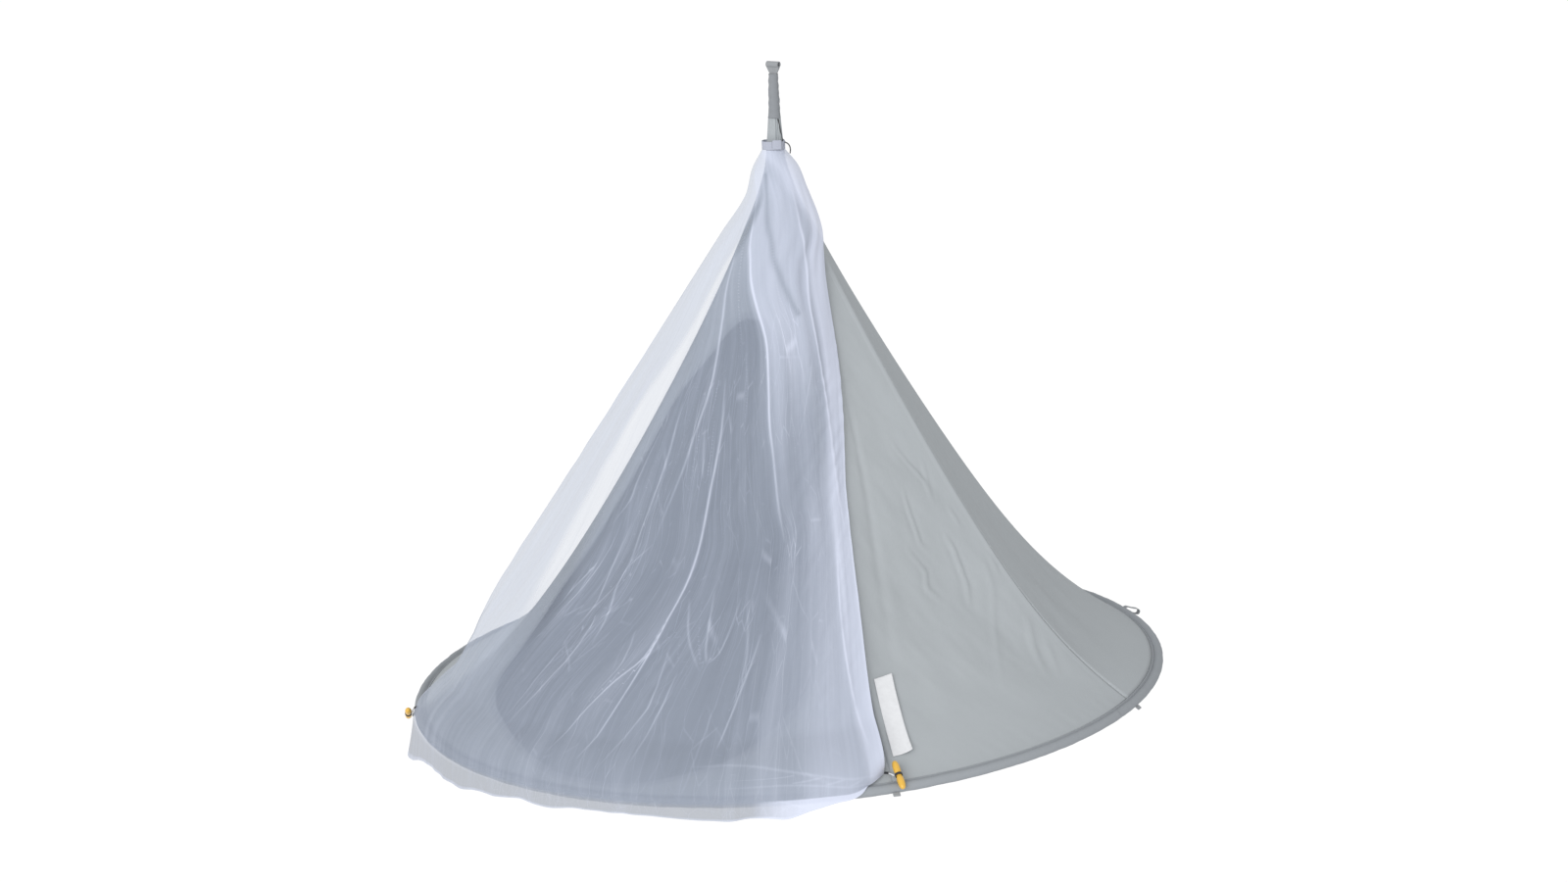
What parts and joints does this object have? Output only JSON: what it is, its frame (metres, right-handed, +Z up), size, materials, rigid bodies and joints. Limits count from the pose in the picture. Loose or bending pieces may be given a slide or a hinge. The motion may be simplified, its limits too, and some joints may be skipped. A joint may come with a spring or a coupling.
{
  "type": "hanging tent with its hoop and hanging strap, and a mosquito net over its door",
  "caption": "Cone-shaped cloth tent hung from a strap, with a round hoop, a sagging floor and a sheer white mosquito net drawn over its oval door.",
  "frame": {"origin": "inner top of the eye in the hanging strap, where a hook carries the tent", "axes": "+Z up along the strap, -Y out of the door, +X to the right of someone who looks at the door"},
  "size_m": [1.8301, 1.8364, 1.6429],
  "materials": {
    "tent_cloth": "matte plain-woven outdoor cloth, cool light grey",
    "hoop_cloth": "the same cloth, a little darker on the hoop's sleeve and the door's piping",
    "floor_cloth": "matte grey cloth",
    "sleeve_cloth": "soft grey cloth sleeve",
    "webbing": "pale grey woven webbing",
    "net_mesh": "fine white mosquito netting, sheer",
    "collar_tape": "white gathered tape",
    "white_tab": "smooth white tape, left bare",
    "white_lace": "thin white cord",
    "black_cord": "thin black cord",
    "black_elastic": "black elastic",
    "amber_toggle": "amber yellow toggle"
  },
  "bodies": {
    "root": {"hang_strap": "webbing", "strap_sleeve": "sleeve_cloth", "neck_cord": "black_cord", "door_panel": "tent_cloth", "door_binding": "hoop_cloth", "gore_1": "tent_cloth", "gore_2": "tent_cloth", "gore_3": "tent_cloth", "gore_4": "tent_cloth", "gore_5": "tent_cloth", "gore_6": "tent_cloth", "floor": "floor_cloth", "hoop": "hoop_cloth", "hoop_loop_free": "webbing", "hoop_loop_left": "webbing", "hoop_loop_front": "webbing", "hoop_loop_right": "webbing", "net": "net_mesh", "net_collar": "collar_tape", "collar_tab": "white_tab", "collar_pull": "black_cord", "bare_label": "white_tab", "toggle_right": "amber_toggle", "toggle_left": "amber_toggle", "toggle_band_right": "black_elastic", "toggle_band_left": "black_elastic", "corner_elastic_right": "black_elastic", "corner_elastic_left": "black_elastic", "corner_lace_right": "white_lace", "corner_lace_left": "white_lace"}
  },
  "joints": []
}
